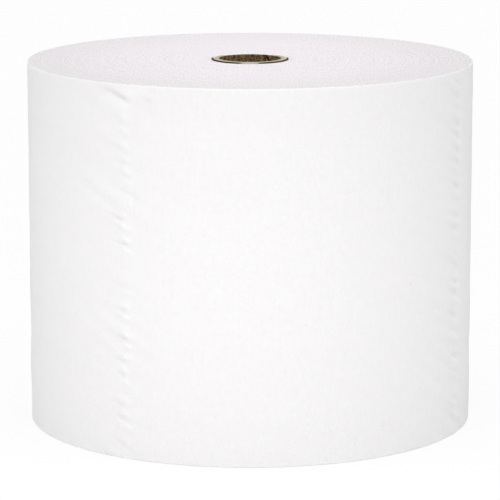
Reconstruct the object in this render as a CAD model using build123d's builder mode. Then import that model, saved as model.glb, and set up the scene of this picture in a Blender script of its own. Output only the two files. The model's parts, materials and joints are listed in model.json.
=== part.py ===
from build123d import *

import os
from math import degrees

# Toilet paper roll: one long perforated web of two-ply tissue, wound on a narrow cardboard tube. It
# stands on one cut end, with the origin in the middle of that end and +Z up the tube. Lengths are
# millimetres. Bearings are degrees round the roll from its front (-Y), counter-clockwise from above.

# Web of tissue
sheet_width = 97.8         # across the web, so it is also the height of the roll
sheet_length = 102.9       # from one perforation to the next
sheet_thickness = 0.2      # loose two-ply sheet, the height of the step at the tail
roll_diameter = 120.0
rim_bevel = 0.4            # the soft edge that the log saw leaves
tail_bearing = 164.7       # the loose end of the web, at the back

# Turns drawn on the two ends, some fifty real ones to each
turn_pitch = 6.5
turn_groove_width = 0.5
turn_groove_depth = 0.2

# Perforation between two sheets
slit_pitch = 3.5
slit_length = 2.7
slit_width = 0.35

# Core of card strips wound on a slant, whose edges leave an open seam inside
core_bore = 16.7
core_wall = 2.05
core_slip = 0.25           # the core stands this far above the upper end of the tissue
seam_lead = 80.0           # height that the seam climbs in one turn
seam_width = 0.6
seam_depth = 0.35
seam_top_bearing = 148.5   # where the seam comes out at the upper end

# How far a cut runs on past the face that it opens
overrun = 1.0

roll_radius = roll_diameter / 2
core_radius = core_bore / 2 + core_wall
sheet_angle = degrees(sheet_length / roll_radius)
up = Vector(0, 0, 1)


def outward(bearing):
    """Direction out of the roll at a bearing."""
    return Vector(0, -1, 0).rotate(Axis.Z, bearing)


def radial_plane(bearing):
    """Upright plane through the axis, with x outwards at the bearing and y up."""
    return Plane(origin=(0, 0, 0), x_dir=outward(bearing), z_dir=outward(bearing).cross(up))


def wall_plane(bearing):
    """Plane that touches the side of the roll at half height, with z outwards and y up."""
    middle = outward(bearing) * roll_radius + up * (sheet_width / 2)
    return Plane(origin=middle, x_dir=up.cross(outward(bearing)), z_dir=outward(bearing))


# A wound spiral is drawn as two half circles a turn. The half that ends at the tail is centred on the
# roll. The half before it is centred half a growth back, so it starts one growth in and runs into it.
tail_plane = radial_plane(tail_bearing)
last_half_axis = Axis((0, 0, 0), -up)


def first_half_axis(growth):
    """Axis of the half turn that starts at the tail's bearing, for that much growth a turn."""
    return Axis(outward(tail_bearing) * (-growth / 2), up)


def half_section(inner, outer):
    """Section of the roll from one distance to another along the tail plane, its rim bevelled."""
    with Locations((inner, 0)):
        Rectangle(outer - inner, sheet_width, align=(Align.MIN, Align.MIN))
    chamfer(vertices().group_by(Axis.X)[-1], rim_bevel)


def turn_notches(distances):
    """V notches in both ends of the roll, at these distances along the tail plane."""
    spread = turn_groove_width / 2 * (turn_groove_depth + overrun) / turn_groove_depth
    for distance in distances:
        for end, outside in ((sheet_width, 1), (0, -1)):
            Polygon(
                (distance, end - outside * turn_groove_depth),
                (distance + spread, end + outside * overrun),
                (distance - spread, end + outside * overrun),
            )


# The wound tissue, with a step where the web ends and a row of slits between sheets
turn_count = int((roll_radius - core_radius - turn_groove_width) / turn_pitch) - 1
turn_radii = [roll_radius - (turn + 1) * turn_pitch for turn in range(turn_count)]
lines_on_outside = int(360 / sheet_angle)
slit_depth = 2 * sheet_thickness

with BuildPart() as tissue_roll:
    with BuildSketch(tail_plane):
        half_section(0, roll_radius)
    revolve(axis=last_half_axis, revolution_arc=180)
    with BuildSketch(tail_plane):
        half_section(-sheet_thickness / 2, roll_radius - sheet_thickness)
    revolve(axis=first_half_axis(sheet_thickness), revolution_arc=180)
    with Locations((0, 0, sheet_width)):
        Hole(core_radius)

    with BuildSketch(tail_plane):
        turn_notches(turn_radii)
    revolve(axis=last_half_axis, revolution_arc=180, mode=Mode.SUBTRACT)
    with BuildSketch(tail_plane):
        turn_notches([radius - turn_pitch for radius in turn_radii])
    revolve(axis=first_half_axis(turn_pitch), revolution_arc=180, mode=Mode.SUBTRACT)

    for line in range(lines_on_outside):
        bearing = tail_bearing - (line + 1) * sheet_angle
        with BuildSketch(wall_plane(bearing).offset(-slit_depth)):
            with GridLocations(slit_pitch, slit_pitch, 1, int(sheet_width / slit_pitch)):
                Rectangle(slit_width, slit_length)
        extrude(amount=slit_depth + overrun, mode=Mode.SUBTRACT)

# The core, with the slanting seam of its inner ply
seam_height = sheet_width + 2 * overrun
seam_start_bearing = seam_top_bearing - 360 * (seam_height - overrun) / seam_lead
seam_start = Plane(
    origin=(0, 0, core_slip - overrun), x_dir=outward(seam_start_bearing), z_dir=up
)

with BuildPart() as core_tube:
    with BuildSketch(Plane.XY.offset(core_slip)):
        Circle(core_radius)
        Circle(core_bore / 2, mode=Mode.SUBTRACT)
    extrude(amount=sheet_width)

    seam = seam_start.location * Helix(seam_lead, seam_height, core_bore / 2, mode=Mode.PRIVATE)
    with BuildSketch(Plane(origin=seam @ 0, x_dir=outward(seam_start_bearing), z_dir=seam % 0)):
        Rectangle(2 * seam_depth, seam_width)
    sweep(path=seam, is_frenet=True, mode=Mode.SUBTRACT)

tissue_roll.part.label = "tissue_roll"
core_tube.part.label = "core_tube"

os.makedirs("parts", exist_ok=True)
export_step(tissue_roll.part, "parts/tissue_roll.step")
export_step(core_tube.part, "parts/core_tube.step")
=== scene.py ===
import json

import bpy
import numpy as np
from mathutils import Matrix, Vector


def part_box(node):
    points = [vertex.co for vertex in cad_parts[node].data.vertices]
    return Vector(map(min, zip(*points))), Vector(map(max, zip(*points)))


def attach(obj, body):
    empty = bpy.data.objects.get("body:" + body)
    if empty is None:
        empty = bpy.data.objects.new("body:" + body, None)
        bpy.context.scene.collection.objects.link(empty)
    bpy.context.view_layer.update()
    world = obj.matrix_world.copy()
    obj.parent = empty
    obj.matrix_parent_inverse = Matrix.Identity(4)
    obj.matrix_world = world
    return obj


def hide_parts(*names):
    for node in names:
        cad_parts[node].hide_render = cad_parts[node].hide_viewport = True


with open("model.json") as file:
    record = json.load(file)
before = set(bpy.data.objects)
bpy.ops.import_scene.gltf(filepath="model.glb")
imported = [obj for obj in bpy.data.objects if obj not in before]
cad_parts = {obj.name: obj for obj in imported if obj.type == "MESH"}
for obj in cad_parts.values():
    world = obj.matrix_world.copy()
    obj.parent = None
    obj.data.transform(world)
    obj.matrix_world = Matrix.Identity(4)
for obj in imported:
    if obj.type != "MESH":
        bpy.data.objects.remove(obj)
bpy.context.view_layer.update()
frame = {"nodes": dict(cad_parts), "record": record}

# Core tube. Strips of brown recycled board, glued and wound on a slant round a mandrel, and sawn
# through together with the paper. Inside, the edges of one strip leave an open seam that climbs
# round the wall, painted near-black as painted shade. The saw leaves a paler, fuzzy edge on which the
# plies show as rings.

mm = 0.001
core_low, core_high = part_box("core_tube")
core_radius = (core_high.x - core_low.x) / 2
mounts = {mount["name"]: mount for mount in frame["record"]["mounts"]}
bore_radius = mounts["core_bore"]["dims"]["r_mm"] * mm
seam_lead = 80 * mm              # height that the seam climbs in one turn
seam_width = 0.7 * mm
seam_depth = 0.35 * mm
seam_top = np.radians(150)       # bearing where the seam comes out at the top
board_plies = 4
ply_relief = 0.04 * mm
board_edge_round = 0.1 * mm
core_steps = (70, 34, 70)        # points of the mesh up the outside, across an end and down the bore
core_columns = 160               # and round the axis,
seam_crowding = 0.85             # drawn in to the seam by this much, from 0 to under 1
corner_steps = 4


def around(radius, bearing, height):
    """Points by distance from the axis, bearing from the front (-Y) counter-clockwise from above, and
    height: x = r sin b, y = -r cos b, z = h."""
    x, y = radius * np.sin(bearing), -radius * np.cos(bearing)
    return np.stack(np.broadcast_arrays(x, y, height), axis=-1)


def closed_ring(name, points):
    """Object made from a grid of points that closes on itself both ways. A column goes round the
    section, up the outer wall first, and a row goes round the axis, counter-clockwise from above."""
    number = np.arange(points.shape[0] * points.shape[1]).reshape(points.shape[:2])
    beside = np.roll(number, -1, axis=1)
    quads = np.stack([number, beside, np.roll(beside, -1, axis=0), np.roll(number, -1, axis=0)], axis=-1)
    mesh = bpy.data.meshes.new(name)
    mesh.from_pydata(points.reshape(-1, 3), [], quads.reshape(-1, 4))
    mesh.shade_smooth()
    piece = bpy.data.objects.new(name, mesh)
    bpy.context.scene.collection.objects.link(piece)
    return piece


def paint(piece, name, values):
    """Store one number for each point of a piece, for its material to read by name."""
    attribute = piece.data.attributes.new(name, "FLOAT", "POINT")
    attribute.data.foreach_set("value", np.ascontiguousarray(values, dtype=np.float32).ravel())


def tube_section(inner, outer, bottom, top, inner_round, outer_round, steps):
    """Radius and height down a column: up the outer wall, in over the top, down the bore, out below.

    Each corner is a quarter circle. The outer wall, the ends and the bore are cut into even steps.
    """
    outer_steps, end_steps, bore_steps = steps
    turn = np.linspace(0, np.pi / 2, corner_steps + 1)[1:-1]
    near, far = inner + inner_round, outer - outer_round
    wall = np.linspace(bottom + outer_round, top - outer_round, outer_steps)
    bore = np.linspace(top - inner_round, bottom + inner_round, bore_steps)
    end = np.linspace(far, near, end_steps)
    radius = [
        np.full(outer_steps, outer), far + outer_round * np.cos(turn), end,
        near - inner_round * np.sin(turn), np.full(bore_steps, inner),
        near - inner_round * np.cos(turn), end[::-1], far + outer_round * np.sin(turn),
    ]
    height = [
        wall, top - outer_round * (1 - np.sin(turn)), np.full(end_steps, top),
        top - inner_round * (1 - np.cos(turn)), bore,
        bottom + inner_round * (1 - np.sin(turn)), np.full(end_steps, bottom),
        bottom + outer_round * (1 - np.cos(turn)),
    ]
    return np.concatenate(radius)[:, None], np.concatenate(height)[:, None]


def ramp(value, start, width):
    """0 up to a start, then a straight rise to 1 over a width."""
    return np.clip((value - start) / width, 0, 1)


def core_surface():
    """Points of the tube, with how much of each is seam, sawn edge, painted gap shade and lint.

    The section is carried round the axis on columns that climb with the seam and crowd at it. There the
    bore is cut back by a groove of flat-bottomed bell section. The sawn edges rise and fall once for
    each ply. The outer ply is painted dark brown as painted shade of the gap against the paper, except
    close to the front and the back. The saw has left paper lint on the outside at the front, on the edge
    of the outer plies round the back half, and on the whole edge close to the back. A share of the wall
    counts from the bore outwards.
    """
    edge_share, gap_shade_share, gap_shade_fade_share = 0.05, 0.74, 0.06
    shade_free_sine, shade_free_sine_fade = 0.17, 0.08                    # as sines of the bearing
    front_amount, front_share = 0.55, 0.9
    front_start, front_fade = 0.966, 0.022                  # as cosines of the bearing from the front
    rim_share, rim_fade = 0.7, 0.3
    back_start, back_fade = 0.55, 0.25                      # as cosines of the bearing from the back
    radius, height = tube_section(
        bore_radius, core_radius, core_low.z, core_high.z, board_edge_round, board_edge_round, core_steps
    )
    even = np.linspace(0, 2 * np.pi, core_columns, endpoint=False)[None, :]
    from_seam = even - seam_crowding * np.sin(even)
    bearing = seam_top + from_seam + 2 * np.pi * (height - core_high.z) / seam_lead
    across_seam = (np.mod(from_seam + np.pi, 2 * np.pi) - np.pi) * bore_radius
    on_bore = radius < bore_radius + board_edge_round / 2
    seam = np.exp(-(2 * across_seam / seam_width) ** 4) * on_bore
    wall_share = (radius - bore_radius) / (core_radius - bore_radius)
    ply = ply_relief * (np.cos(2 * np.pi * board_plies * wall_share) - 1) / 2
    from_end = np.minimum(height - core_low.z, core_high.z - height)
    end_side = np.sign(height - (core_low.z + core_high.z) / 2)
    on_end = (wall_share > edge_share) & (wall_share < 1 - edge_share)
    sawn = np.broadcast_to(np.clip(1 - 2 * from_end / board_edge_round, 0, 1), seam.shape)
    # Painted shade of the gap between the core and the paper, on the outer ply, none at the front or back.
    gap_shade_open = ramp(np.abs(np.sin(bearing)), shade_free_sine, shade_free_sine_fade)
    painted_gap_shade = ramp(wall_share, gap_shade_share, gap_shade_fade_share) * gap_shade_open
    front_lint = front_amount * (wall_share > front_share) * ramp(np.cos(bearing), front_start, front_fade)
    rim_lint = (wall_share > rim_share) * ramp(-np.cos(bearing), 0, rim_fade)
    back_lint = sawn * np.maximum(rim_lint, ramp(-np.cos(bearing), back_start, back_fade))
    points = around(radius + seam_depth * seam, bearing, height + ply * end_side * on_end)
    return points, {"seam": seam, "sawn": sawn, "painted_gap_shade": painted_gap_shade, "lint": front_lint + back_lint}


def linear(hex_colour):
    """Linear colour of an sRGB hex value, with alpha 1."""
    srgb = np.array([int(hex_colour[i:i + 2], 16) for i in (1, 3, 5)]) / 255
    return (*np.where(srgb <= 0.04045, srgb / 12.92, ((srgb + 0.055) / 1.055) ** 2.4), 1.0)


def new_material(name):
    """New node material and its empty tree."""
    material = bpy.data.materials.new(name)
    material.use_nodes = True
    material.node_tree.nodes.clear()
    return material, material.node_tree


def add(tree, kind, inputs=(), **settings):
    """Node of a kind, with its settings. Each input is a socket name or number with a value, or with
    the socket that feeds it."""
    node = tree.nodes.new(kind)
    for setting, value in settings.items():
        setattr(node, setting, value)
    for socket, value in dict(inputs).items():
        if isinstance(value, bpy.types.NodeSocket):
            tree.links.new(value, node.inputs[socket])
        else:
            node.inputs[socket].default_value = value
    return node


def recycled_board():
    """Brown recycled board, calendered on its faces and sawn on its ends: matt, flecked with fibres of
    about 0.5 to 1.5 mm, paler where the saw has torn the plies open, and white where paper lint clings
    to it. The open seam is painted near-black and the outer ply dark brown, both as painted shade."""
    # The seam's near-black is painted shade.
    board_brown, fleck_brown, seam_shade_black = "#A08659", "#21190F", "#040302"
    # The dark brown of the outer ply is painted shade of the gap against the paper.
    sawn_inside, sawn_outside, gap_shade_brown, lint_white = "#B5AC9A", "#C0B8A6", "#3A240A", "#F2EEE8"
    fibre_size, fleck_size, fuzz_size = 1.4 * mm, 0.5 * mm, 0.35 * mm
    fleck_share, fuzz_depth = 0.6, 0.12 * mm
    material, tree = new_material("recycled_board")
    place = add(tree, "ShaderNodeTexCoord").outputs["Object"]
    fibres = add(tree, "ShaderNodeTexNoise", {
        "Vector": place, "Scale": 1 / fibre_size, "Detail": 6, "Roughness": 0.7})
    flecks = add(tree, "ShaderNodeTexNoise", {
        "Vector": place, "Scale": 1 / fleck_size, "Detail": 2, "Roughness": 0.6})
    fuzz = add(tree, "ShaderNodeTexNoise", {"Vector": place, "Scale": 1 / fuzz_size, "Detail": 3})
    mottle = add(tree, "ShaderNodeMix", {
        "Factor": fleck_share, "A": fibres.outputs["Fac"], "B": flecks.outputs["Fac"]}, data_type="FLOAT")
    tone = add(tree, "ShaderNodeMapRange", {
        "Value": mottle.outputs["Result"], "From Min": 0.40, "From Max": 0.61})
    face = add(tree, "ShaderNodeMix", {
        "Factor": tone.outputs[0], "A": linear(fleck_brown), "B": linear(board_brown)}, data_type="RGBA")
    seam = add(tree, "ShaderNodeAttribute", attribute_name="seam")
    # The open seam is painted near-black: painted shade.
    wall = add(tree, "ShaderNodeMix", {
        "Factor": seam.outputs["Fac"], "A": face.outputs["Result"], "B": linear(seam_shade_black)},
        data_type="RGBA")
    flat_place = add(tree, "ShaderNodeVectorMath", {0: place, 1: (1, 1, 0)}, operation="MULTIPLY")
    radius = add(tree, "ShaderNodeVectorMath", {0: flat_place.outputs[0]}, operation="LENGTH")
    outwards = add(tree, "ShaderNodeMapRange", {
        "Value": radius.outputs["Value"], "From Min": bore_radius, "From Max": core_radius})
    edge = add(tree, "ShaderNodeMix", {
        "Factor": outwards.outputs[0], "A": linear(sawn_inside), "B": linear(sawn_outside)},
        data_type="RGBA")
    sawn = add(tree, "ShaderNodeAttribute", attribute_name="sawn")
    board_colour = add(tree, "ShaderNodeMix", {
        "Factor": sawn.outputs["Fac"], "A": wall.outputs["Result"], "B": edge.outputs["Result"]},
        data_type="RGBA")
    # Painted shade of the gap against the paper on the outer ply.
    painted_gap_shade = add(tree, "ShaderNodeAttribute", attribute_name="painted_gap_shade")
    gap_shaded = add(tree, "ShaderNodeMix", {
        "Factor": painted_gap_shade.outputs["Fac"], "A": board_colour.outputs["Result"], "B": linear(gap_shade_brown)},
        data_type="RGBA")
    lint = add(tree, "ShaderNodeAttribute", attribute_name="lint")
    colour = add(tree, "ShaderNodeMix", {
        "Factor": lint.outputs["Fac"], "A": gap_shaded.outputs["Result"], "B": linear(lint_white)},
        data_type="RGBA")
    bump = add(tree, "ShaderNodeBump", {
        "Height": fuzz.outputs["Fac"], "Distance": fuzz_depth, "Strength": 0.6})
    board = add(tree, "ShaderNodeBsdfPrincipled", {
        "Base Color": colour.outputs["Result"], "Normal": bump.outputs[0], "Roughness": 0.85,
        "Specular IOR Level": 0.3})
    add(tree, "ShaderNodeOutputMaterial", {"Surface": board.outputs[0]})
    return material


core_points, core_marks = core_surface()
core = closed_ring("core_tube_board", core_points)
for mark, amount in core_marks.items():
    paint(core, mark, amount)
core.data.materials.append(recycled_board())
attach(core, "root")
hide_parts("core_tube")

# Wound tissue. One web of white two-ply tissue, wound tight on the core by machine and sawn from a
# long log. Hundreds of turns end flush in the two flat ends, where the cut edges give a fine fuzz and
# faint rings, and every so often a turn sits a hair lower.

roll_low, roll_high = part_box("tissue_roll")
roll_vertices = frame["nodes"]["tissue_roll"].data.vertices
roll_corners = np.empty(3 * len(roll_vertices))
roll_vertices.foreach_get("co", roll_corners)
roll_radius = np.hypot(roll_corners[0::3], roll_corners[1::3]).max()
tail_bearing = np.radians(164.7)
outer_wall = 1.0 * mm            # the last few turns are a piece of their own
turn_pitch = 6.5 * mm            # the turns that show on the ends
turn_depth = 0.04 * mm
turn_width = 0.45 * mm
ring_count = 24                  # fainter rings between them, of mixed sizes
ring_sizes = (0.8 * mm, 3.0 * mm)
ring_relief = 0.006 * mm
ring_pull = 0.35                 # radians of its own wave that a ring is pulled out of round
wound_edge_round = 0.08 * mm
wound_steps = (2, 176, 2)        # points of the mesh up the outside, across an end and down the bore
wound_columns = 256              # and round the axis
rng = np.random.default_rng(11)


def bell(share):
    """Bell curve of a share of its half width: 1 at 0, and e to the minus share squared beside it."""
    return np.exp(-share ** 2)


def turn_relief(radius, bearing):
    """How far a cut end lies below its plane, at a radius and a bearing.

    A soft groove follows the spiral r = pitch (b / 2 pi + n). On it lie rings: a sum of cosines of the
    radius with mixed lengths, each pulled a little out of round in one to three lobes.
    """
    turn = (radius - roll_radius) / turn_pitch - (bearing - tail_bearing) / (2 * np.pi)
    off_groove = (turn - np.round(turn)) * turn_pitch
    relief = turn_depth * bell(off_groove / turn_width)
    for length in np.geomspace(*ring_sizes, ring_count):
        lobes, turned, lag = rng.integers(1, 4), rng.uniform(0, 2 * np.pi), rng.uniform(0, 2 * np.pi)
        pull = ring_pull * np.cos(lobes * bearing + turned)
        relief = relief + ring_relief * (1 + np.cos(2 * np.pi * radius / length + lag + pull)) / 2
    return relief


def wound_points():
    """The roll's section inside its last few turns, carried round the axis, with both ends let down by
    the relief of the turns."""
    radius, height = tube_section(
        core_radius, roll_radius - outer_wall, roll_low.z, roll_high.z,
        wound_edge_round, wound_edge_round, wound_steps
    )
    bearing = np.linspace(0, 2 * np.pi, wound_columns, endpoint=False)[None, :]
    end_side = np.sign(height - (roll_low.z + roll_high.z) / 2)
    from_end = np.minimum(height - roll_low.z, roll_high.z - height)
    at_end = np.clip(1 - from_end / wound_edge_round, 0, 1)
    relief = turn_relief(radius, bearing)
    return around(radius, bearing, height - end_side * at_end * relief)


def sawn_tissue():
    """Cut end of a wound tissue log: matt white with a fuzz of cut fibres, drawn about 0.3 mm apart so
    that it shows, combed one way by the saw, and faint rings where turns lie tighter. Towards the rim
    the ends are painted a shade darker, as painted shade."""
    # The third grey is painted shade towards the rim of each end.
    paper_white, gap_grey, painted_rim_shade = "#FCF7FA", "#CAC5C9", "#D3D5D4"
    fuzz_size, fuzz_stretch, fuzz_share, fuzz_depth = 0.28 * mm, 0.25, 0.8, 0.3 * mm
    ring_size, drift_size, drift_reach = 0.7 * mm, 18 * mm, 0.8 * mm
    shade_start_radius = 0.55 * roll_radius
    material, tree = new_material("sawn_tissue")
    place = add(tree, "ShaderNodeTexCoord").outputs["Object"]
    flat_place = add(tree, "ShaderNodeVectorMath", {0: place, 1: (1, 1, 0)}, operation="MULTIPLY")
    radius = add(tree, "ShaderNodeVectorMath", {0: flat_place.outputs[0]}, operation="LENGTH")
    drift = add(tree, "ShaderNodeTexNoise", {"Vector": place, "Scale": 1 / drift_size, "Detail": 1})
    pulled = add(tree, "ShaderNodeMath", {
        0: drift.outputs["Fac"], 1: drift_reach, 2: radius.outputs["Value"]}, operation="MULTIPLY_ADD")
    rings = add(tree, "ShaderNodeTexNoise", {
        "W": pulled.outputs[0], "Scale": 1 / ring_size, "Detail": 4, "Roughness": 0.65},
        noise_dimensions="1D")
    saw_way = add(tree, "ShaderNodeMapping", {"Vector": place, "Scale": (1, fuzz_stretch, 1)})
    fuzz = add(tree, "ShaderNodeTexNoise", {
        "Vector": saw_way.outputs[0], "Scale": 1 / fuzz_size, "Detail": 3, "Roughness": 0.6})
    grain = add(tree, "ShaderNodeMix", {
        "Factor": fuzz_share, "A": rings.outputs["Fac"], "B": fuzz.outputs["Fac"]}, data_type="FLOAT")
    gaps = add(tree, "ShaderNodeMapRange", {
        "Value": grain.outputs["Result"], "From Min": 0.33, "From Max": 0.55})
    paper = add(tree, "ShaderNodeMix", {
        "Factor": gaps.outputs[0], "A": linear(gap_grey), "B": linear(paper_white)}, data_type="RGBA")
    # The ends are painted darker from about half the radius out to the rim: painted shade.
    rim_shade = add(tree, "ShaderNodeMapRange", {
        "Value": radius.outputs["Value"], "From Min": shade_start_radius, "From Max": roll_radius,
        "To Max": 0.20})
    colour = add(tree, "ShaderNodeMix", {
        "Factor": rim_shade.outputs[0], "A": paper.outputs["Result"], "B": linear(painted_rim_shade)},
        data_type="RGBA")
    bump = add(tree, "ShaderNodeBump", {
        "Height": grain.outputs["Result"], "Distance": fuzz_depth, "Strength": 0.5})
    tissue = add(tree, "ShaderNodeBsdfPrincipled", {
        "Base Color": colour.outputs["Result"], "Normal": bump.outputs[0], "Roughness": 1.0,
        "Diffuse Roughness": 0.7, "Specular IOR Level": 0.1})
    add(tree, "ShaderNodeOutputMaterial", {"Surface": tissue.outputs[0]})
    return material


wound = closed_ring("wound_tissue", wound_points())
wound.data.materials.append(sawn_tissue())
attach(wound, "root")
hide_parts("tissue_roll")

# Last turns. The outside of the same web: soft two-ply tissue with fine upright creping. Every sheet
# ends in a row of slits, and the web has pulled into slanting puckers along each row. The web ends at
# such a row too, lightly stuck down at the back, a step of one sheet.

sheet_thickness = 0.2 * mm
sheet_length = 102.9 * mm
slit_pitch = 3.5 * mm
slit_length = 2.7 * mm
slit_width = 0.3 * mm
slit_depth = 0.05 * mm
slit_end_fade = 0.24 * mm
rim_round = 0.3 * mm
rim_highlight_reach = 0.7 * mm             # how far down the side the painted highlight under each rim reaches
pucker_depth = 0.60 * mm
lip_height = 0.34 * mm
lip_width = 0.63 * mm
slack_height = 0.032 * mm
tail_lift = 0.25 * mm
tail_lift_reach = 5 * mm
inner_gap = 0.02 * mm            # between these turns and the ones that they lie on
inner_edge_round = 0.04 * mm
outer_steps = (250, 3, 2)        # points of the mesh up the outside, across an end and down the inside
outer_columns = 360              # and round the axis
sheet_angle = sheet_length / roll_radius
line_bearings = tail_bearing - sheet_angle * np.arange(4)
line_pulls = (0.7, 0.55, 0.9, 0.7)   # how hard the web has pulled at each line, from the tail back,
line_changes = (2.0, 1.0, 2.2, 2.0)  # how much the pull changes from bond to bond,
line_reaches = np.array((2.6, 4.5, 2.6, 3.5)) * mm  # and how far the puckers run
line_seeds = (6329, 24551, 6331, 6332)  # the middle two chosen for their order of strong and weak puckers
front_line = line_bearings[2]


def crowded_bearings(count):
    """Bearings once round from the tail to the tail, closer together beside each perforation.

    They are read off the running sum of a density that peaks at the lines, more on the side before a
    line, where the puckers are.
    """
    before_reach, after_reach, line_reach = 9 * mm, 5 * mm, 0.8 * mm
    beside_density, line_density, samples = 2.2, 6, 20001
    fine = np.linspace(tail_bearing - 2 * np.pi, tail_bearing, samples)
    density = np.ones_like(fine)
    for line in (*line_bearings, tail_bearing - 2 * np.pi):
        arc = (fine - line) * roll_radius
        reach = np.where(arc < 0, before_reach, after_reach)
        density += beside_density * bell(arc / reach) + line_density * bell(arc / line_reach)
    total = np.cumsum(density)
    total = (total - total[0]) / (total[-1] - total[0])
    return np.interp(np.linspace(0, 1, count), total, fine)


def falling_step(distance, width):
    """Soft step from 1 down to 0 across distance 0: half of 1 - tanh of the distance over a width."""
    return (1 - np.tanh(distance / width)) / 2


def pucker_relief(arc, height, pull, change, reach, seed):
    """Relief of the puckers along one perforation, at an arc from it and a height.

    Each bond between two slits holds the web down and pulls a short valley that climbs away to the left.
    Across its length the valley is a bell, wider where it runs further. Along it, the valley opens near
    the line, is deepest a little over 1 mm to the left and dies out with a long faint end. Above and
    below it the cut web stands up in two lips. A share is one of the reach.
    """
    strengths, slopes, foot_shifts = (0.25, 1.0), (0.2, 0.55), (-0.2 * slit_pitch, 0.2 * slit_pitch)
    starts, stretches, widenings = (-0.8 * mm, 0.6 * mm), (0.7, 1.3), (0.8, 1.4)
    opening_left, opening_share, opening_width = 1.0 * mm, 0.2, 0.8 * mm
    main_part, faint_part, faint_length = 0.8, 0.2, 2.2
    valley_width_share = 0.19
    lip_offset, lip_offset_share = 1.2 * mm, 0.1
    lip_right, lip_left_share, lip_length_share = 0.9 * mm, 0.2, 0.5
    draw, shift = np.random.default_rng(seed), np.random.default_rng(seed + 100)
    relief = np.zeros(np.broadcast_shapes(arc.shape, height.shape))
    for bond in np.arange(roll_low.z + slit_pitch, roll_high.z - slit_pitch / 2, slit_pitch):
        strength = pull * draw.uniform(*strengths) ** change
        slope = draw.uniform(*slopes)
        foot = bond + draw.uniform(*foot_shifts)
        climb = height - foot + slope * arc
        along = arc - shift.uniform(*starts)
        left = np.clip(-along / (reach * shift.uniform(*stretches)), 0, None)
        opening = falling_step(along + opening_left - opening_share * reach, opening_width)
        valley = opening * (main_part * bell(left) + faint_part * np.exp(-left / faint_length))
        valley = valley * bell(climb / (valley_width_share * reach * shift.uniform(*widenings)))
        lips = bell((np.abs(climb) - lip_offset - lip_offset_share * reach) / lip_width)
        lips = lips * bell((along + lip_left_share * reach - lip_right) / (lip_length_share * reach))
        relief += strength * (lip_height * lips - pucker_depth * valley)
    return relief


def slack_relief(arc, height, seed):
    """Soft slanting waves of the web beside a perforation: cosines across a slant, under a wide bell that
    sits to the left of the line."""
    wave_count, lengths, slopes = 6, (4.5 * mm, 9 * mm), (0.3, 0.7)
    bell_left, bell_reach = 3 * mm, 14 * mm
    draw = np.random.default_rng(seed)
    waves = np.zeros(np.broadcast_shapes(arc.shape, height.shape))
    for _ in range(wave_count):
        length = draw.uniform(*lengths)
        slope, lag = draw.uniform(*slopes), draw.uniform(0, 2 * np.pi)
        waves += np.cos(2 * np.pi * (height + slope * arc) / length + lag)
    return slack_height * waves * bell((arc + bell_left) / bell_reach)


def slit_relief(arc, height):
    """Relief of one row of slits: a small bell-shaped nick across the line, broken at each bond."""
    along = np.mod(height - roll_low.z, slit_pitch) - slit_pitch / 2
    open_here = falling_step(np.abs(along) - slit_length / 2, slit_end_fade)
    return -slit_depth * bell(arc / slit_width) * open_here


def soft_waves(bearing, height):
    """Slack of the outermost sheet: a sum of slow waves that run nearly level round the roll, higher where
    they are longer."""
    wave_count, lengths, height_share, seed = 14, (9 * mm, 26 * mm), 0.0006, 5
    draw = np.random.default_rng(seed)
    waves = np.zeros(np.broadcast_shapes(bearing.shape, height.shape))
    for _ in range(wave_count):
        length = draw.uniform(*lengths)
        lobes = draw.integers(1, 7)
        lag = draw.uniform(0, 2 * np.pi)
        waves += length * height_share * np.cos(2 * np.pi * height / length + lobes * bearing + lag)
    return waves


def crease_relief(arc, height):
    """Deeper fold at the top of the front line, from the rim down to the line.

    Its depth under the rim grows to the line as an exponential. Across it lies a bell-shaped valley with a
    wide low lip under it, and above its end a round bulge. To the right a short weaker fold repeats it.
    """
    rim_gap, drop, run, run_end = 0.5 * mm, 3.5 * mm, 6.5 * mm, 2 * mm
    valley_place, long_end, short_end = -1.8 * mm, 5.0 * mm, 2.0 * mm
    valley_depth, valley_width = 0.38 * mm, 0.7 * mm
    low_lip_height, low_lip_drop, low_lip_width = 0.25 * mm, 2.4 * mm, 1.6 * mm
    bulge_height, bulge_place, bulge_drop = 0.25 * mm, 0.8 * mm, 2.0 * mm
    bulge_length, bulge_width = 2.6 * mm, 1.1 * mm
    second_place, second_drop, second_slope, second_length = 6.5 * mm, 3.6 * mm, 0.5, 1.8 * mm
    second_depth, second_width = 0.2 * mm, 0.55 * mm
    high_lip_height, high_lip_rise, high_lip_width = 0.12 * mm, 1.3 * mm, 0.9 * mm
    below_rim = roll_high.z - height
    under_fold = below_rim - (rim_gap + drop * np.exp(np.minimum(arc, run_end) / run))
    valley_end = bell((arc - valley_place) / np.where(arc < valley_place, long_end, short_end))
    valley = valley_depth * bell(under_fold / valley_width)
    low_lip = low_lip_height * bell((under_fold - low_lip_drop) / low_lip_width)
    bulge = bulge_height * bell((arc - bulge_place) / bulge_length)
    bulge = bulge * bell((below_rim - bulge_drop) / bulge_width)
    under_second = below_rim - second_drop - second_slope * (arc - second_place)
    second_end = bell((arc - second_place) / second_length)
    second = second_depth * bell(under_second / second_width)
    high_lip = high_lip_height * bell((under_second + high_lip_rise) / high_lip_width)
    return valley_end * (low_lip - valley) + bulge + second_end * (high_lip - second)


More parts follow.
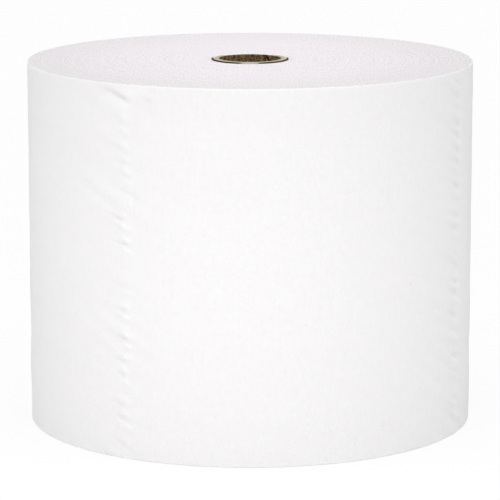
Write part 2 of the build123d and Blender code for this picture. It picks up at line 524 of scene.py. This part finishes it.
def outer_surface():
    """Points of the last turns, how far each lies in a fold or on a lip for painted shade and highlight,
    and which faces are cut ends.

    The section is carried round from the tail to the tail and grows by one sheet. The outer wall and its
    two rims take the relief of waves, puckers, slits, the crease and the lifted tail. The inner wall
    stays round. Painted shade counts from 0 to -1 at full pucker depth, and painted highlight from 0 to 1
    at full lip height. The side just under each rim takes painted highlight too, full at the rim.
    """
    flat_end, flat_end_share = 0.01 * mm, 0.9    # a cut end lies this close to its plane, inside the rim
    inner = roll_radius - outer_wall + inner_gap
    radius, height = tube_section(
        inner, roll_radius, roll_low.z, roll_high.z, inner_edge_round, rim_round, outer_steps
    )
    bearing = crowded_bearings(outer_columns)[None, :]
    growth = sheet_thickness * (bearing - tail_bearing) / (2 * np.pi)
    relief = soft_waves(bearing, height)
    folds = crease_relief((bearing - front_line) * roll_radius, height)
    for line, pull, change, reach, seed in zip(
            line_bearings, line_pulls, line_changes, line_reaches, line_seeds):
        arc = (bearing - line) * roll_radius
        folds = folds + pucker_relief(arc, height, pull, change, reach, seed)
        relief = relief + slack_relief(arc, height, seed)
        if line < tail_bearing:
            relief = relief + slit_relief(arc, height)
    relief = relief + folds
    before_tail = (tail_bearing - bearing) * roll_radius
    relief = relief + tail_lift * bell(before_tail / tail_lift_reach)
    outward = np.clip((radius - inner) / (roll_radius - inner), 0, 1)
    points = around(radius + outward * (growth + relief), bearing, height)
    from_end = np.minimum(height - roll_low.z, roll_high.z - height)
    rim_highlight = 1 - from_end / rim_highlight_reach
    # Folds give painted shade; lips and the side under each rim give painted highlight.
    fold = np.maximum(np.where(folds < 0, folds / pucker_depth, folds / lip_height), rim_highlight)
    on_end = (from_end < flat_end) & (outward < flat_end_share)
    return points, np.clip(fold, -1, 1), np.broadcast_to(on_end, points.shape[:2])


def creped_tissue():
    """Creped two-ply tissue: matt white, with a fibre speck here and there. The creping makes fine upright
    lines about 0.4 mm apart, drawn here in bundles of 1 to 2 mm so that they show, over a soft mottle.
    Folds are painted grey as painted shade, and lips and the side under each rim a little whiter as
    painted highlight."""
    paper_white, thin_white, speck_grey = "#FCFBFB", "#F5F4F4", "#EBE8E5"
    # Painted shade for the folds and painted highlight for the lips and rims.
    painted_fold_shade, painted_lip_highlight = "#E7E5E3", "#FCFCFC"
    crepe_size, upright_stretch, crepe_depth = 1.4 * mm, 0.05, 0.45 * mm
    fibre_size, fibre_share, mottle_size = 0.45 * mm, 0.35, 1.2 * mm
    speck_spacing, speck_core, speck_edge = 8 * mm, 0.125 * mm, 0.325 * mm
    material, tree = new_material("creped_tissue")
    place = add(tree, "ShaderNodeTexCoord").outputs["Object"]
    upright = add(tree, "ShaderNodeMapping", {"Vector": place, "Scale": (1, 1, upright_stretch)})
    crepe = add(tree, "ShaderNodeTexNoise", {
        "Vector": upright.outputs[0], "Scale": 1 / crepe_size, "Detail": 4, "Roughness": 0.65})
    fibres = add(tree, "ShaderNodeTexNoise", {
        "Vector": place, "Scale": 1 / fibre_size, "Detail": 3, "Roughness": 0.6})
    mottle = add(tree, "ShaderNodeTexNoise", {
        "Vector": place, "Scale": 1 / mottle_size, "Detail": 4, "Roughness": 0.65})
    texture = add(tree, "ShaderNodeMix", {
        "Factor": fibre_share, "A": crepe.outputs["Fac"], "B": fibres.outputs["Fac"]}, data_type="FLOAT")
    paper = add(tree, "ShaderNodeMix", {
        "Factor": mottle.outputs["Fac"], "A": linear(thin_white), "B": linear(paper_white)},
        data_type="RGBA")
    cells = add(tree, "ShaderNodeTexVoronoi", {"Vector": place, "Scale": 1 / speck_spacing})
    speck = add(tree, "ShaderNodeMapRange", {
        "Value": cells.outputs["Distance"], "From Min": speck_core / speck_spacing,
        "From Max": speck_edge / speck_spacing, "To Min": 1.0, "To Max": 0.0})
    specked = add(tree, "ShaderNodeMix", {
        "Factor": speck.outputs[0], "A": paper.outputs["Result"], "B": linear(speck_grey)},
        data_type="RGBA")
    # Painted shade in the folds, and painted highlight on the lips and under the rims, read from the
    # points.
    fold = add(tree, "ShaderNodeAttribute", attribute_name="fold")
    painted_shade_share = add(tree, "ShaderNodeMapRange", {
        "Value": fold.outputs["Fac"], "From Min": -1.0, "From Max": 0.0, "To Min": 1.0, "To Max": 0.0})
    shaded = add(tree, "ShaderNodeMix", {
        "Factor": painted_shade_share.outputs[0], "A": specked.outputs["Result"], "B": linear(painted_fold_shade)},
        data_type="RGBA")
    # Lips and the side under each rim are painted whiter: painted highlight.
    painted_highlight_share = add(tree, "ShaderNodeMapRange", {"Value": fold.outputs["Fac"]})
    colour = add(tree, "ShaderNodeMix", {
        "Factor": painted_highlight_share.outputs[0], "A": shaded.outputs["Result"], "B": linear(painted_lip_highlight)},
        data_type="RGBA")
    bump = add(tree, "ShaderNodeBump", {
        "Height": texture.outputs["Result"], "Distance": crepe_depth, "Strength": 1.0})
    tissue = add(tree, "ShaderNodeBsdfPrincipled", {
        "Base Color": colour.outputs["Result"], "Normal": bump.outputs[0], "Roughness": 1.0,
        "Diffuse Roughness": 0.7, "Specular IOR Level": 0.1})
    add(tree, "ShaderNodeOutputMaterial", {"Surface": tissue.outputs[0]})
    return material


outer_points, outer_painted_light, outer_ends = outer_surface()
outer = closed_ring("outer_turns", outer_points)
# The points carry painted shade in the folds and painted highlight on the lips and under the rims.
paint(outer, "fold", outer_painted_light)
outer.data.materials.append(creped_tissue())
outer.data.materials.append(wound.data.materials[0])
outer.data.polygons.foreach_set("material_index", outer_ends.astype(np.int32).ravel())
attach(outer, "root")
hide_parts("tissue_roll")

# Studio. A pale floor that the camera sees as white, a long low strip light close in front and a
# little to the left, a narrow one over the cut end, and even light from all round.

floor_half = 4.0
floor_white, floor_bounce, sky_white = "#FFFFFF", "#CFCFCF", "#FFFFFF"
seen_white = 0.85                # how much of the floor is plain white to the eye; the rest takes shadow
front_power, top_power, sky_strength = 0.116, 0.031, 0.8985
front_bearing, front_height, front_distance = np.radians(-5), 0.058, 0.20
front_size = (0.46, 0.03)
top_height, top_size = 0.18, (0.03, 0.36)


def seen_directly(tree):
    """1 on rays from the camera and on mirrored or refracted ones, 0 on light that bounces softly."""
    path = add(tree, "ShaderNodeLightPath")
    shiny = add(tree, "ShaderNodeMath", {
        0: path.outputs["Is Glossy Ray"], 1: path.outputs["Is Transmission Ray"]}, operation="MAXIMUM")
    seen = add(tree, "ShaderNodeMath", {
        0: path.outputs["Is Camera Ray"], 1: shiny.outputs[0]}, operation="MAXIMUM")
    return seen.outputs[0]


def pale_floor():
    """Matt pale floor that shows white apart from the object's shadow."""
    material, tree = new_material("pale_floor")
    seen = seen_directly(tree)
    colour = add(tree, "ShaderNodeMix", {
        "Factor": seen, "A": linear(floor_bounce), "B": linear(floor_white)}, data_type="RGBA")
    shaded = add(tree, "ShaderNodeBsdfDiffuse", {"Color": colour.outputs["Result"]})
    white = add(tree, "ShaderNodeEmission", {"Color": linear(floor_white), "Strength": 1.0})
    share = add(tree, "ShaderNodeMath", {0: seen, 1: seen_white}, operation="MULTIPLY")
    surface = add(tree, "ShaderNodeMixShader", {
        0: share.outputs[0], 1: shaded.outputs[0], 2: white.outputs[0]})
    add(tree, "ShaderNodeOutputMaterial", {"Surface": surface.outputs[0]})
    return material


def area_lamp(name, place, target, size, power):
    """Soft rectangular lamp that faces a target and isn't seen itself."""
    data = bpy.data.lights.new(name, "AREA")
    data.shape = "RECTANGLE"
    data.size, data.size_y = size
    data.energy = power
    lamp = bpy.data.objects.new(name, data)
    lamp.location = place
    lamp.rotation_euler = (Vector(target) - Vector(place)).to_track_quat("-Z", "Y").to_euler()
    lamp.visible_camera = False
    bpy.context.scene.collection.objects.link(lamp)


floor_corners = floor_half * np.array([(-1, -1, 0), (1, -1, 0), (1, 1, 0), (-1, 1, 0)])
floor_mesh = bpy.data.meshes.new("floor")
floor_mesh.from_pydata(floor_corners, [], [(0, 1, 2, 3)])
floor_mesh.materials.append(pale_floor())
floor = bpy.data.objects.new("floor", floor_mesh)
bpy.context.scene.collection.objects.link(floor)

middle = (0, 0, (roll_low.z + roll_high.z) / 2)
front_place = around(front_distance, front_bearing, front_height)
area_lamp("front_strip", front_place, middle, front_size, front_power)
area_lamp("top_strip", (0, 0, top_height), (0, 0, roll_high.z), top_size, top_power)

world = bpy.data.worlds.new("even_light")
world.use_nodes = True
world.node_tree.nodes.clear()
strength = add(world.node_tree, "ShaderNodeMapRange", {
    "Value": seen_directly(world.node_tree), "To Min": sky_strength, "To Max": 1.0})
sky = add(world.node_tree, "ShaderNodeBackground", {
    "Color": linear(sky_white), "Strength": strength.outputs[0]})
add(world.node_tree, "ShaderNodeOutputWorld", {"Surface": sky.outputs[0]})
bpy.context.scene.world = world

# Camera. A long lens in front of the roll, raised nearly 11 degrees, and aimed at the axis a little
# under half of the roll's height.

camera_distance = 13.798 * roll_radius
camera_elevation = np.radians(10.847)
aim_height = 0.7561 * roll_radius
lens_length, sensor_width = 218.6, 36    # millimetres, as the camera takes them
camera_data = bpy.data.cameras.new("camera")
camera_data.lens = lens_length
camera_data.sensor_width = sensor_width
camera = bpy.data.objects.new("camera", camera_data)
aim = Vector((0, 0, aim_height))
camera.location = around(
    camera_distance * np.cos(camera_elevation), 0, aim_height + camera_distance * np.sin(camera_elevation)
)
camera.rotation_euler = (aim - camera.location).to_track_quat("-Z", "Y").to_euler()
bpy.context.scene.collection.objects.link(camera)
bpy.context.scene.camera = camera
bpy.context.scene.view_settings.view_transform = "Standard"
